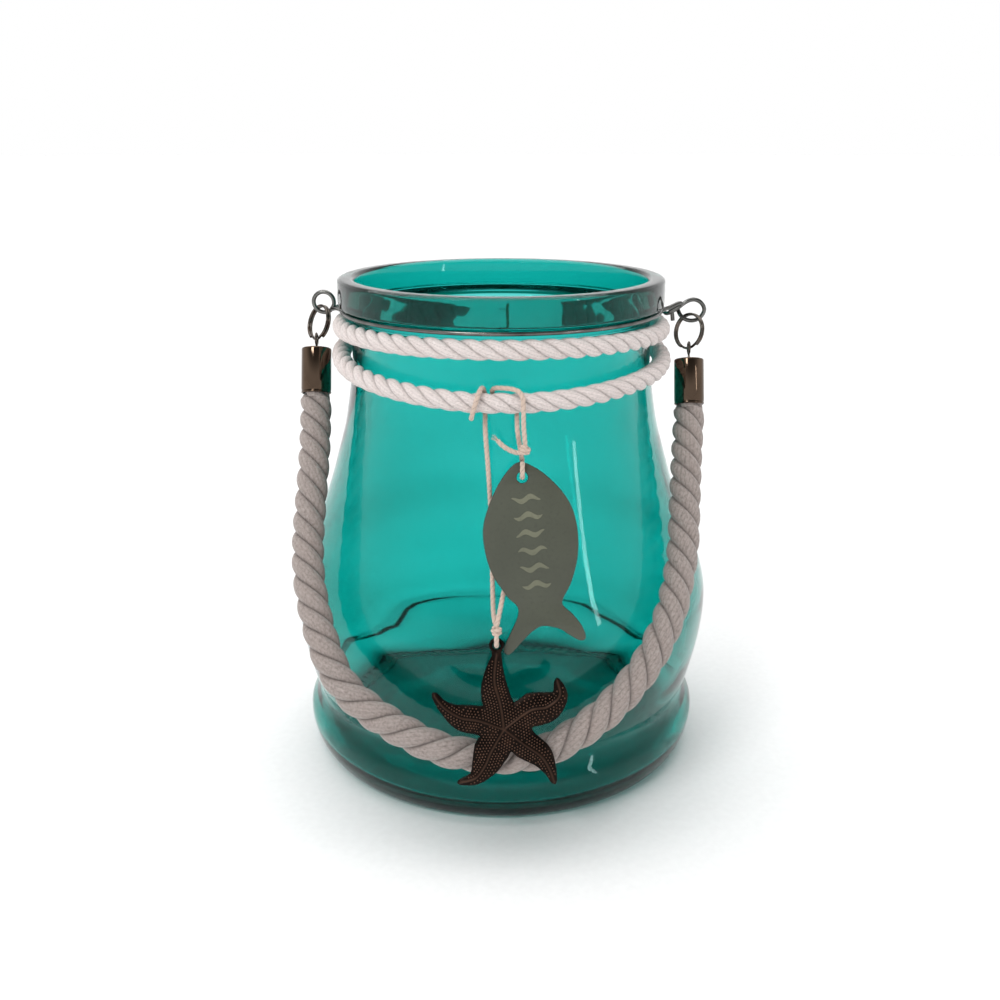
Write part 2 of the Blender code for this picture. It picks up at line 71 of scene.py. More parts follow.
HOOK_ROUTE = [
    (55.3, 2.7, 156.5), (56.5, 0.7, 155.6), (58.2, 0.1, 156.3), (60.2, 0.0, 157.5),
    (62.0, -0.1, 159.0), (63.7, -0.1, 160.0), (65.6, 0.0, 160.35), (67.5, 0.0, 159.7),
    (68.8, 0.0, 158.3), (69.2, 0.0, 156.6), (68.4, 0.1, 154.8), (67.0, 0.2, 153.6),
    (65.3, 0.2, 153.2), (63.6, 0.3, 153.4), (62.2, 0.6, 154.1), (61.2, 1.2, 155.2),
    (60.6, 1.9, 156.5), (59.9, 2.1, 157.6), (58.9, 2.1, 157.6), (58.5, 2.1, 156.5),
    (58.8, 2.1, 154.6), (59.0, 2.1, 152.9),
]
NECK_ROPE_RADIUS = 3.15
NECK_ROPE_STATIONS = [
    (25, 56.0, 152.4), (60, 54.8, 152.4), (90, 54.1, 152.5), (135, 54.0, 153.0),
    (180, 54.1, 153.2), (225, 54.1, 152.7), (270, 54.2, 151.6), (305, 54.9, 151.4),
    (335, 56.0, 150.8), (360, 56.4, 148.2), (385, 56.1, 145.4), (415, 55.0, 144.4),
    (450, 54.5, 143.6), (490, 55.6, 140.4), (525, 56.9, 138.2), (540, 57.1, 137.9),
    (558, 56.9, 138.1), (590, 55.8, 139.8), (630, 54.7, 142.0), (662, 54.9, 143.6),
    (692, 56.0, 143.6),
]
STRING_RADIUS, TIE_RADIUS = 0.75, 0.6
HANDLE_TILT = math.radians(21.0)
RING_RADIUS, RING_WIRE_RADIUS, RING_PITCH, RING_SEAT = 5.8, 0.44, 0.95, 2.15
RING_OPEN_HALF_ANGLE = math.radians(32.0)
RING_YAW = math.radians(-52.0)
LEFT = ((-61.7, 0.5, 156.05), math.radians(-8.0), 3.1)
RIGHT = ((64.3, 0.2, 153.2), math.radians(-1.0), 3.9)
EYE_RADIUS, EYE_WIRE_RADIUS = 1.95, 0.37
CAP_RADIUS, CAP_LENGTH, CAP_WALL, CAP_HOLE_RADIUS = 5.05, 15.5, 0.45, 0.8
HANDLE_ROPE_RADIUS, ROPE_START, GAP = 5.25, 4.2, 0.3
HANDLE_ROPE_ROUTE = [
    (-62.7, -20.5, 113.5), (-63.0, -28.8, 101.7), (-63.3, -37.2, 90.5), (-62.9, -43.6, 82.5),
    (-61.7, -49.2, 75.7), (-59.6, -54.8, 68.8), (-56.8, -60.3, 61.9), (-53.0, -65.4, 54.6),
    (-48.3, -69.5, 49.0), (-42.5, -72.6, 44.9), (-36.1, -75.0, 41.3), (-28.2, -77.5, 37.6),
    (-18.9, -79.6, 34.2), (-9.6, -80.6, 32.6), (1.2, -81.0, 32.1), (12.0, -80.4, 33.4),
    (18.2, -79.2, 35.8), (24.4, -77.4, 38.9), (30.5, -75.0, 42.5), (36.4, -72.3, 47.1),
    (42.4, -68.4, 52.7), (47.0, -64.8, 58.0), (51.7, -59.5, 65.3), (54.6, -54.6, 70.4),
    (56.7, -49.4, 75.9), (58.6, -43.9, 82.1), (59.7, -39.2, 87.9), (60.9, -30.8, 98.9),
    (62.2, -21.9, 111.2),
]
TAG_HOLE, TAG_TILT = (6.3, -62.7, 116.6), math.radians(15.3)
TAG_THICKNESS, TAG_HOLE_RADIUS = 1.6, 1.7
TAG_OUTLINE = [
    (-0.4, 4.6), (3.4, 3.2), (7.1, 0.7), (11.9, -4.1), (15.2, -9.8), (16.7, -17.0),
    (16.5, -24.5), (14.7, -31.5), (12.4, -36.2), (12.3, -38.4), (15.3, -41.2), (18.1, -44.8),
    (19.2, -48.2), (17.5, -49.1), (14.1, -47.3), (11.1, -45.5), (6.6, -44.7), (3.9, -45.8),
    (1.2, -48.2), (-3.0, -52.8), (-4.6, -53.4), (-5.5, -51.5), (-3.1, -46.1), (-1.3, -41.8),
    (-1.5, -38.8), (-4.6, -35.7), (-9.4, -28.2), (-11.6, -19.5), (-11.3, -12.6), (-7.9, -3.5),
    (-3.6, 2.9),
]
STAR_HOLE, STAR_TILT = (-1.4, -78.3, 68.8), math.radians(16.5)
STAR_HOLE_RADIUS, STAR_EYE_RADIUS = 1.25, 2.3
STAR_CENTRE = (2.25, -25.2)
STAR_ARMS = [
    [(10.0, -19.6, 5.2), (15.3, -18.4, 4.7), (18.9, -15.0, 2.6), (18.2, -10.6, 1.0)],
    [(8.7, -30.0, 4.5), (13.3, -33.3, 3.7), (16.0, -37.6, 2.1), (17.4, -41.4, 0.9)],
    [(-1.6, -32.0, 5.4), (-3.5, -36.3, 4.2), (-6.5, -40.2, 2.2), (-11.2, -41.6, 0.8)],
    [(-5.2, -22.7, 4.4), (-10.5, -21.8, 4.0), (-15.5, -18.9, 2.0), (-18.7, -15.0, 1.0)],
]
STAR_NOTCHES = [(5.2, -17.3), (10.4, -24.7), (4.4, -32.0), (-4.9, -27.2), (-3.9, -18.7)]
STAR_TOP_ARM_RIGHT = [(1.5, -2.5), (1.9, -6.2), (2.5, -9.5), (3.5, -12.8), (4.5, -15.8)]
STAR_TOP_ARM_LEFT = [(-4.6, -16.2), (-4.7, -13.0), (-4.0, -9.5), (-2.8, -5.9), (-1.5, -3.2)]
STRING_SEAT = (0.0, -57.1, 137.9)
STRING_REACH = NECK_ROPE_RADIUS + STRING_RADIUS + 0.65


# ------------------------------------------------------------------ lines
def smooth(points, steps, cyclic=False):
    """Points of a Catmull-Rom curve through the given points."""
    p = np.asarray(points, float)
    if cyclic:
        p = np.vstack([p[-1], p, p[0], p[1]])
    else:
        p = np.vstack([2 * p[0] - p[1], p, 2 * p[-1] - p[-2]])
    t = (np.arange(steps) / steps)[None, :, None]
    a, b, c, d = (p[i:len(p) - 3 + i, None, :] for i in range(4))
    line = 0.5 * (2 * b + (c - a) * t + (2 * a - 5 * b + 4 * c - d) * t ** 2
                  + (3 * b - a - 3 * c + d) * t ** 3)
    line = line.reshape(-1, p.shape[1])
    return line if cyclic else np.vstack([line, p[-2]])


def lengths(line):
    return np.concatenate([[0.0], np.cumsum(np.linalg.norm(np.diff(line, axis=0), axis=1))])


def evenly(line, step):
    """The same line with its points a given step apart."""
    s = lengths(line)
    want = np.linspace(0.0, s[-1], max(2, int(round(s[-1] / step)) + 1))
    return np.stack([np.interp(want, s, line[:, k]) for k in range(3)], axis=1)


def unit(v):
    v = np.asarray(v, float)
    return v / np.linalg.norm(v, axis=-1, keepdims=True)


def hang_direction(lean):
    return np.array([math.sin(lean), -math.sin(HANDLE_TILT) * math.cos(lean),
                     -math.cos(HANDLE_TILT) * math.cos(lean)])


def ring_bottom(side):
    pivot, lean, _ = side
    return np.array(pivot) + hang_direction(lean) * (2 * RING_RADIUS - RING_SEAT)


def cap_top(side):
    return ring_bottom(side) + hang_direction(0.0) * side[2]


def ring_line(side):
    """The split ring's coil, single where the eye hangs in it."""
    pivot, lean, _ = side
    down = hang_direction(lean)
    centre = np.array(pivot) + down * (RING_RADIUS - RING_SEAT)
    across = np.array([math.cos(RING_YAW), math.sin(RING_YAW), 0.0])
    across = unit(across - down * across.dot(down))
    axis = np.cross(down, across)
    a = np.linspace(RING_OPEN_HALF_ANGLE, 4 * math.pi - RING_OPEN_HALF_ANGLE, 150)[:, None]
    shift = RING_PITCH / 2 * np.clip((a - 2 * math.pi) / RING_OPEN_HALF_ANGLE, -1.0, 1.0)
    return centre + (down * np.cos(a) + across * np.sin(a)) * RING_RADIUS + axis * shift


def eye_line(side):
    centre, down = ring_bottom(side), hang_direction(0.0)
    out = np.cross([1.0, 0.0, 0.0], down)
    a = np.radians(np.linspace(28, 360, 40))[:, None]
    loop = centre + (down * np.cos(a) + out * np.sin(a)) * EYE_RADIUS
    shank = [centre + down * (EYE_RADIUS + 0.8), centre + down * (side[2] + 2.6)]
    return np.vstack([loop, shank])


def collar_line():
    def around(first, last, step):
        a = np.radians(np.arange(first, last, step))
        return np.stack([COLLAR_RADIUS * np.cos(a), COLLAR_RADIUS * np.sin(a),
                         np.full(len(a), COLLAR_HEIGHT)], axis=1)

    a = np.arange(-38, 323, 20)
    x, y, z = LEFT_LOOP_CENTRE
    loop = np.stack([x + LEFT_LOOP_RADIUS * np.cos(np.radians(a)),
                     y + (a - 142) / 180 * LEFT_LOOP_PITCH,
                     z + LEFT_LOOP_RADIUS * np.sin(np.radians(a))], axis=1)
    return smooth(np.vstack([HAIRPIN_ROUTE, around(-9, -172, -6), [(-55.9, -2.5, 157.7)], loop,
                             [(-55.9, 2.5, 157.7)], around(171, 6, -6), HOOK_ROUTE]), 4)


def neck_rope_line():
    r = smooth(NECK_ROPE_STATIONS, 12)
    a = np.radians(90.0 + r[:, 0])
    return np.stack([r[:, 1] * np.cos(a), r[:, 1] * np.sin(a), r[:, 2]], axis=1)


def back_tie_line():
    reach = NECK_ROPE_RADIUS + TIE_RADIUS + 2 * GAP
    a = np.arange(19)
    turn = np.radians(-60 + 40 * a)
    coil = np.stack([(a - 9) * 0.17, 56.4 + reach * np.cos(turn), 148.2 + reach * np.sin(turn)],
                    axis=1)
    tail = [(2.2, 60.9, 147.0), (2.6, 61.6, 143.0), (3.2, 61.2, 138.0)]
    return smooth(np.vstack([coil, tail]), 5)


def handle_rope_line():
    down = hang_direction(0.0)
    left, right = cap_top(LEFT), cap_top(RIGHT)
    mouth = CAP_LENGTH + 2.0
    middle = smooth(np.vstack([[left + down * mouth], HANDLE_ROPE_ROUTE,
                               [right + down * mouth]]), 6)
    return np.vstack([[left + down * ROPE_START], [left + down * (CAP_LENGTH + GAP)], middle,
                      [right + down * (CAP_LENGTH + GAP)], [right + down * ROPE_START]])


def threading(hole, tilt, steps):
    """A string's points through a plate's hole, given up and out of the plate."""
    up = np.array([0.0, math.sin(tilt), math.cos(tilt)])
    out = np.array([0.0, -math.cos(tilt), math.sin(tilt)])
    return [np.array(hole) + up * a + out * b for a, b in steps]


def on_neck(places):
    """Points round the neck rope in front, given as (x, turned angle from the front)."""
    return [(x, STRING_SEAT[1] - STRING_REACH * math.cos(math.radians(a)),
             STRING_SEAT[2] + STRING_REACH * math.sin(math.radians(a))) for x, a in places]


# ------------------------------------------------------------------ strings' routes
STAR_STRING = smooth(np.vstack([
    on_neck([(-8.9, -105), (-8.9, -75), (-8.7, -45), (-8.2, -15), (-7.5, 15), (-6.8, 45),
             (-6.1, 75), (-5.6, 105), (-5.2, 135), (-4.9, 165), (-4.8, 195)]),
    [(-4.8, -56.7, 132.0), (-4.7, -59.6, 129.6), (-4.5, -60.8, 126.8), (-4.0, -60.9, 120.0),
     (-3.5, -61.0, 112.0), (-3.1, -62.3, 103.0), (-2.8, -65.3, 93.0), (-2.6, -68.8, 82.5),
     (-2.3, -72.0, 75.8)],
    threading(STAR_HOLE, STAR_TILT, [
        (4.6, -2.4), (2.4, -2.5), (0.8, -2.3), (0.0, -1.3), (0.0, 0.4), (0.3, 1.9),
        (1.6, 2.6), (3.2, 2.5), (5.0, 1.6)]),
    [(-0.7, -75.4, 77.2), (0.2, -72.0, 80.4), (1.2, -69.1, 84.6), (2.3, -67.0, 89.5),
     (3.6, -64.5, 97.5), (4.6, -62.5, 105.5), (5.1, -61.4, 111.8)],
]), 6)
FISH_STRING = smooth(np.vstack([
    [(-1.2, -64.6, 128.6), (0.6, -64.0, 126.6), (3.2, -63.4, 124.9), (5.6, -62.9, 124.3),
     (7.0, -62.8, 125.6), (6.9, -62.7, 128.6), (6.6, -62.3, 132.5)],
    on_neck([(6.5, 12), (6.2, 38), (5.2, 62), (3.2, 80), (0.6, 92), (-1.7, 112), (-2.7, 138),
             (-2.3, 162), (-0.4, 178), (1.8, 186), (3.7, 194), (4.6, 212)]),
    [(4.8, -59.9, 130.9), (5.3, -60.1, 127.0), (5.9, -60.1, 123.5)],
    threading(TAG_HOLE, TAG_TILT, [
        (4.6, -2.3), (2.4, -2.4), (0.7, -2.0), (0.0, -1.0), (0.0, 0.4), (0.3, 1.6),
        (1.4, 2.3), (3.0, 2.2), (4.8, 2.1)]),
]), 6)


# ------------------------------------------------------------------ meshes
def in_scene(name, data):
    made = bpy.data.objects.new(name, data)
    bpy.context.scene.collection.objects.link(made)
    return made


def coordinates(mesh):
    co = np.empty(len(mesh.vertices) * 3)
    mesh.vertices.foreach_get("co", co)
    return co.reshape(-1, 3)


def mesh_piece(name, verts, faces, material, uvs=None, groove=None):
    """A smooth-shaded mesh object from millimetre points."""
    mesh = bpy.data.meshes.new(name)
    mesh.from_pydata((np.asarray(verts) * MM).tolist(), [], faces)
    mesh.materials.append(material)
    mesh.shade_smooth()
    if uvs is not None:
        layer = mesh.uv_layers.new(name="lay")
        index = np.empty(len(mesh.loops), int)
        mesh.loops.foreach_get("vertex_index", index)
        layer.data.foreach_set("uv", np.asarray(uvs)[index].ravel())
    # share of a second colour: painted shade on the ropes, copper on the starfish's studs
    if groove is not None:
        mesh.attributes.new("groove", "FLOAT", "POINT").data.foreach_set("value", groove)
    return in_scene(name, mesh)


def sweep(name, line, sides, profile, material):
    """A closed tube along a line. profile(s, angle, whole) gives (radius, painted shade share) at
    each point.
    """
    n = len(line)
    tangent = unit(np.gradient(line, axis=0))
    side = np.cross(tangent[0], [0.3, 0.2, 0.9])
    normals = []
    for t in tangent:
        side = side - t * side.dot(t)
        side = side / np.linalg.norm(side)
        normals.append(side)
    normals = np.array(normals)
    binormals = np.cross(tangent, normals)
    s = lengths(line)
    angle = 2 * math.pi * np.arange(sides) / sides
    radius, groove = profile(s[:, None], angle[None, :], s[-1])
    ring = (normals[:, None, :] * np.cos(angle)[None, :, None]
            + binormals[:, None, :] * np.sin(angle)[None, :, None])
    verts = line[:, None, :] + ring * radius[:, :, None]
    i, j = np.meshgrid(np.arange(n - 1), np.arange(sides), indexing="ij")
    k = (j + 1) % sides
    quads = np.stack([i * sides + j, i * sides + k, (i + 1) * sides + k, (i + 1) * sides + j],
                     axis=-1).reshape(-1, 4)
    first, last = n * sides, n * sides + 1
    base = (n - 1) * sides
    faces = quads.tolist()
    faces += [(first, (q + 1) % sides, q) for q in range(sides)]
    faces += [(last, base + q, base + (q + 1) % sides) for q in range(sides)]
    verts = np.vstack([verts.reshape(-1, 3), line[:1], line[-1:]])
    uv = np.stack(np.broadcast_arrays(s[:, None], angle[None, :]), axis=-1).reshape(-1, 2)
    uv = np.vstack([uv, [[0, 0], [s[-1], 0]]])
    groove = np.append(np.broadcast_to(groove, radius.shape).ravel(), [0.0, 0.0])
    return mesh_piece(name, verts, faces, material, uv, groove)


YARN_LEAN = math.tan(math.radians(13))


def laid(radius, strands, hand, pitch_ends, pitch_middle, yarn, depth=0.3, ends=1.2, seed=1,
         relief=0.11):
    """The surface of a laid rope: round strands with yarns on them.

    hand is 1 or -1, the pitches are one strand's turn at the ends and in the middle, depth is
    how deep the strands' valleys go as a share of the radius, ends is the rounding of the cut
    ends, and relief is the yarns' height as a share of their width.
    """
    count = max(5, round(2 * math.pi * radius * 0.55 / yarn)) if yarn else 0
    rough = np.random.default_rng(seed)
    wobble = rough.uniform(-1, 1, (6, 2))

    def profile(s, angle, whole):
        bow = np.sin(np.pi * s / whole) ** 2
        pitch = pitch_ends + (pitch_middle - pitch_ends) * bow
        twist = np.concatenate([[0.0], np.cumsum(np.diff(s[:, 0]) / pitch[1:, 0])])[:, None]
        twist = twist + sum(0.012 * w[0] * np.sin((i + 2) * 9 * s / whole + 6 * w[1])
                            for i, w in enumerate(wobble))
        place = angle / (2 * math.pi) * strands - hand * twist * strands
        u = 2 * (place % 1.0) - 1.0
        dome = np.sqrt(np.clip(1 - (0.985 * u) ** 2, 0, 1))
        r = radius * (1 - depth + depth * dome)
        # painted shade: the colour darkens by this share in the valleys between strands
        groove = np.clip((0.7 - dome) / 0.6, 0, 1) ** 1.4
        if yarn:
            slope = 2 * math.pi * radius * 0.8 / pitch
            lean = (slope - YARN_LEAN) / (math.pi * radius / strands)
            across = np.arcsin(0.94 * u)
            strand = np.floor(place)
            phase = count * across + hand * count * lean * s + 2.1 * strand
            soft = 0.75 + 0.25 * np.sin(0.9 * s + 5 * np.floor(phase / (2 * math.pi)))
            ridge = np.sqrt(0.5 + 0.5 * np.cos(phase))
            r = r + yarn * relief * (ridge - 0.8) * soft * (0.35 + 0.65 * dome)
            # painted shade also in the valleys between yarns
            groove = np.maximum(groove, 0.42 * np.clip((0.45 - ridge) / 0.45, 0, 1))
        near_end = np.minimum(s, whole - s)
        cut = np.clip(near_end / ends, 0, 1)
        return r * (0.35 + 0.65 * np.sqrt(1 - (1 - cut) ** 2)), groove

    return profile


def wire(name, line, radius, material):
    """A round wire as a curve."""
    curve = bpy.data.curves.new(name, "CURVE")
    curve.dimensions = "3D"
    curve.bevel_depth = radius * MM
    curve.bevel_resolution = 5
    curve.use_fill_caps = True
    curve.twist_mode = "MINIMUM"
    spline = curve.splines.new("POLY")
    spline.points.add(len(line) - 1)
    spline.use_smooth = True
    for i, place in enumerate(line):
        spline.points[i].co = (*(np.asarray(place) * MM), 1.0)
    curve.materials.append(material)
    return in_scene(name, curve)


def turned(name, profile, segments, material, closed=False):
    """A turned piece about Z from (radius, height) points, outside downwards."""
    p = np.asarray(profile, float)
    a = 2 * math.pi * np.arange(segments) / segments
    on_axis = p[:, 0] < 1e-6
    verts, rows = [], []
    for (r, z), centre in zip(p, on_axis):
        if centre:
            rows.append([len(verts)] * segments)
            verts.append((0.0, 0.0, z))
        else:
            rows.append(list(range(len(verts), len(verts) + segments)))
            verts += [(r * math.cos(t), r * math.sin(t), z) for t in a]
    faces = []
    pairs = list(zip(rows, rows[1:])) + ([(rows[-1], rows[0])] if closed else [])
    for top, low in pairs:
        for j in range(segments):
            k = (j + 1) % segments
            face = list(dict.fromkeys((top[j], low[j], low[k], top[k])))
            faces.append(face)
    return mesh_piece(name, verts, faces, material)


# ------------------------------------------------------------------ materials
def add(tree, kind, out=0, props=None, **inputs):
    """One shader node. An input is another node's output or a constant."""
    node = tree.nodes.new("ShaderNode" + kind)
    for key, value in (props or {}).items():
        setattr(node, key, value)
    for key, value in inputs.items():
        key = int(key[1:]) if key[1:].isdigit() else key.replace("_", " ")
        if isinstance(value, bpy.types.NodeSocket):
            tree.links.new(value, node.inputs[key])
        else:
            node.inputs[key].default_value = value
    return node.outputs[out]


def ramp(tree, fac, stops):
    node = tree.nodes.new("ShaderNodeValToRGB")
    tree.links.new(fac, node.inputs[0])
    while len(node.color_ramp.elements) < len(stops):
        node.color_ramp.elements.new(0.5)
    for element, (place, colour) in zip(node.color_ramp.elements, stops):
        element.position = place
        element.color = (*colour, 1.0) if len(colour) == 3 else colour
    return node.outputs[0]


def grey(value):
    return (value,) * 3


def mix(tree, first, second, share, blend="MIX"):
    return add(tree, "Mix", out=2, props={"data_type": "RGBA", "blend_type": blend},
               _6=first, _7=second, _0=share)


def surface(name, **inputs):
    """A new material with its Principled shader's own sockets set."""
    made = bpy.data.materials.new(name)
    made.use_nodes = True
    shader = made.node_tree.nodes["Principled BSDF"]
    for key, value in inputs.items():
        key = key.replace("_", " ")
        if isinstance(value, tuple) and len(value) == 3:
            value = (*value, 1.0)
        shader.inputs[key].default_value = value
    return made, made.node_tree, shader


def link(tree, output, shader, socket):
    tree.links.new(output, shader.inputs[socket])


def object_place(tree):
    return add(tree, "TexCoord", out=3)


def glass_material():
    made, tree, shader = surface(
        "teal_glass", Base_Color=(0.93, 0.99, 0.985), Transmission_Weight=1.0, IOR=1.5,
        Specular_Tint=(0.35, 0.5, 0.5))
    place = object_place(tree)
    smear = add(tree, "TexNoise", Vector=place, Scale=22.0, Detail=3.0)
    link(tree, ramp(tree, smear, [(0.35, grey(0.0)), (0.75, grey(0.05))]), shader, "Roughness")
    ripple = add(tree, "Mapping", Vector=place, Scale=(1.0, 1.0, 0.28))
    wave = add(tree, "TexNoise", Vector=ripple, Scale=38.0, Detail=1.5)
    link(tree, add(tree, "Bump", Height=wave, Strength=0.32, Distance=0.0011), shader, "Normal")
    output = tree.nodes["Material Output"]
    absorb = add(tree, "VolumeAbsorption", Color=(0.03, 0.825, 0.805, 1.0), Density=910.0)
    tree.links.new(absorb, output.inputs["Volume"])
    return made


def rope_material(name, light, mid, dark, fuzz, grain, stain, shade=0.3):
    """Cotton rope: yarns from the surface, painted shade between strands, short fibres."""
    made, tree, shader = surface(name, Roughness=0.93, Sheen_Weight=0.25, Sheen_Roughness=0.5,
                                 Specular_IOR_Level=0.2)
    lay = add(tree, "UVMap", props={"uv_map": "lay"})
    place = object_place(tree)
    streaks = add(tree, "Mapping", Vector=lay, Scale=(0.5 * grain, 3.2 * grain, 1.0))
    fibre = add(tree, "TexNoise", Vector=streaks, Scale=2.2, Detail=6.0, Roughness=0.7)
    colour = ramp(tree, fibre, [(0.28, dark), (0.5, mid), (0.72, light)])
    soil = add(tree, "TexNoise", Vector=place, Scale=70.0, Detail=3.0)
    colour = mix(tree, colour, (*stain, 1.0),
                 ramp(tree, soil, [(0.45, grey(0.0)), (0.8, grey(0.35))]))
    # painted shade: the colour is mixed toward a darker mid tone by this share, in the rope's
    # valleys
    groove = add(tree, "Attribute", out=2, props={"attribute_name": "groove"})
    link(tree, mix(tree, colour, (*(c * shade for c in mid), 1.0), groove), shader, "Base Color")
    fluff = add(tree, "TexNoise", Vector=place, Scale=2600.0, Detail=2.0)
    height = add(tree, "Math", props={"operation": "ADD"}, _0=fibre, _1=fluff)
    link(tree, add(tree, "Bump", Height=height, Strength=0.55, Distance=fuzz * MM), shader,
         "Normal")
    return made


def metal_material(name, light, dark, rough, stain=None, scale=160.0, bump=0.02):
    """Plated metal: uneven tone, fine wear and a few rough patches."""
    made, tree, shader = surface(name, Metallic=1.0)
    place = object_place(tree)
    tone = add(tree, "TexNoise", Vector=place, Scale=scale, Detail=4.0)
    colour = ramp(tree, tone, [(0.3, dark), (0.7, light)])
    if stain:
        spots = add(tree, "TexNoise", Vector=place, Scale=scale * 4, Detail=3.0)
        colour = mix(tree, colour, (*stain, 1.0),
                     ramp(tree, spots, [(0.55, grey(0.0)), (0.75, grey(0.6))]))
    link(tree, colour, shader, "Base Color")
    link(tree, ramp(tree, tone, [(0.3, grey(rough)), (0.75, grey(rough * 1.8))]), shader,
         "Roughness")
    grain = add(tree, "TexNoise", Vector=place, Scale=1400.0, Detail=2.0)
    link(tree, add(tree, "Bump", Height=grain, Strength=bump * 10, Distance=bump * MM), shader,
         "Normal")
    return made


GLASS = glass_material()
COTTON = rope_material("white_cotton_rope", (0.84, 0.77, 0.745), (0.71, 0.64, 0.615),
                       (0.5, 0.43, 0.41), 0.15, 1.0, (0.62, 0.53, 0.5), 0.33)
GREY_COTTON = rope_material("grey_cotton_rope", (0.43, 0.375, 0.35), (0.335, 0.287, 0.265),
                            (0.19, 0.155, 0.142), 0.10, 0.8, (0.36, 0.29, 0.26))
CREAM = rope_material("cream_string", (0.76, 0.63, 0.54), (0.6, 0.47, 0.39), (0.36, 0.27, 0.21),
                      0.05, 3.0, (0.5, 0.37, 0.28))
OLIVE = rope_material("olive_twine", (0.33, 0.32, 0.18), (0.25, 0.24, 0.13), (0.14, 0.13, 0.07),
                      0.04, 3.0, (0.22, 0.2, 0.1))
WIRE_STEEL = metal_material("dark_steel_wire", (0.2, 0.2, 0.19), (0.08, 0.08, 0.077), 0.17)
RING_STEEL = metal_material("ring_steel", (0.16, 0.138, 0.12), (0.06, 0.052, 0.046), 0.14,
                            stain=(0.12, 0.06, 0.035))
GUNMETAL = metal_material("gunmetal", (0.125, 0.086, 0.06), (0.07, 0.048, 0.034), 0.06, scale=60.0,
                          bump=0.006)


# ------------------------------------------------------------------ the jar
JAR_SEGMENTS = 384
FOOT_RING_RADIUS, FOOT_RIBS, RIB_HEIGHT = 61.5, 96, 0.22
WALL_WAVE = 0.14


def make_jar():
    inside, outside = smooth(JAR_INSIDE, 4), smooth(JAR_OUTSIDE, 4)
    inside[:, 0] = np.maximum(inside[:, 0], 0.0)
    profile = np.vstack([inside, outside])
    profile[-1, 0] = profile[0, 0] = 0.0
    jar = turned("jar_glass", profile, JAR_SEGMENTS, GLASS)
    mesh = jar.data
    co = coordinates(mesh)
    r, a = np.hypot(co[:, 0], co[:, 1]) / MM, np.arctan2(co[:, 1], co[:, 0])
    z = co[:, 2] / MM
    # short ribs pressed into the ring it stands on
    band = np.clip(1 - np.abs(r - FOOT_RING_RADIUS) / 3.0, 0, 1) * (z < 1.0)
    co[:, 2] += band * (0.5 + 0.5 * np.cos(FOOT_RIBS * a)) * RIB_HEIGHT * MM
    # the wall is a little uneven, as blown glass is, only on its inner side
    inner = (z > 14) & (z < 150) & (r < 69.7) & (np.arange(len(r)) < len(inside) * JAR_SEGMENTS)
    wave = (np.sin(3 * a + z / 17) + 0.6 * np.sin(5 * a - z / 11 + 1.0)
            + 0.5 * np.sin(2 * a + z / 29 + 2.0)) * WALL_WAVE
    scale = 1 + np.where(inner, wave, 0.0) / np.maximum(r, 1.0)
    co[:, 0] *= scale
    co[:, 1] *= scale
    mesh.vertices.foreach_set("co", co.ravel())
    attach(jar, "jar")
    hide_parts("glass_jar")


make_jar()


# ------------------------------------------------------------------ metalwork
def put(piece, body, slot, *nodes):
    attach(piece, body)
    if nodes:
        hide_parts(*nodes)
    return piece


put(wire("collar_ring_wire", collar_line(), 0.7, WIRE_STEEL), "jar", "dark_steel_wire",
    "collar_wire")
CAP_EDGE, CAP_BEAD = 0.55, 0.12
for word, side in (("left", LEFT), ("right", RIGHT)):
    put(wire(f"ring_{word}", ring_line(side), RING_WIRE_RADIUS, RING_STEEL), "rings",
        "ring_steel", f"split_ring_{word}")
    put(wire(f"eye_{word}", eye_line(side), EYE_WIRE_RADIUS, RING_STEEL), "handle",
        "ring_steel", f"eye_pin_{word}")
    o, w, e = CAP_RADIUS, CAP_WALL, CAP_EDGE
    corner = [(o - e + e * math.sin(t), -e + e * math.cos(t))
              for t in np.radians(np.linspace(0, 90, 7))]
    foot = [(o - w / 2 + w / 2 * math.cos(t), -CAP_LENGTH + w / 2 - w / 2 * math.sin(t))
            for t in np.radians(np.linspace(0, 180, 9))]
    bead = [(o, -CAP_LENGTH + 1.15), (o - CAP_BEAD, -CAP_LENGTH + 0.95),
            (o - CAP_BEAD, -CAP_LENGTH + 0.8), (o, -CAP_LENGTH + 0.6)]
    cap = turned(f"cap_{word}", [(CAP_HOLE_RADIUS, 0.0), (2.6, -0.02)] + corner + bead + foot
                 + [(o - w, -w), (CAP_HOLE_RADIUS, -w)], 96, GUNMETAL, closed=True)
    cap.data.set_sharp_from_angle(angle=math.radians(40))
    cap.matrix_world = (Matrix.Translation(Vector(cap_top(side)) * MM)
                        @ Matrix.Rotation(-HANDLE_TILT, 4, "X"))
    put(cap, "handle", "gunmetal", f"end_cap_{word}")


# ------------------------------------------------------------------ ropes
def rope(name, line, step, sides, profile, material):
    return sweep(name, evenly(line, step * STEP_SCALE), sides, profile, material)


neck = rope("neck_rope_laid", neck_rope_line(), 0.42, 56,
            laid(NECK_ROPE_RADIUS, 3, 1, 18.2, 18.2, 0.6, depth=0.5, seed=3, relief=0.05), COTTON)
put(neck, "jar", "white_cotton_rope", "neck_rope")
tie = rope("back_tie_twine", back_tie_line(), 0.2, 16,
           laid(TIE_RADIUS, 2, 1, 3.0, 3.0, 0.0, ends=0.4), OLIVE)
put(tie, "jar", "olive_twine", "back_tie")


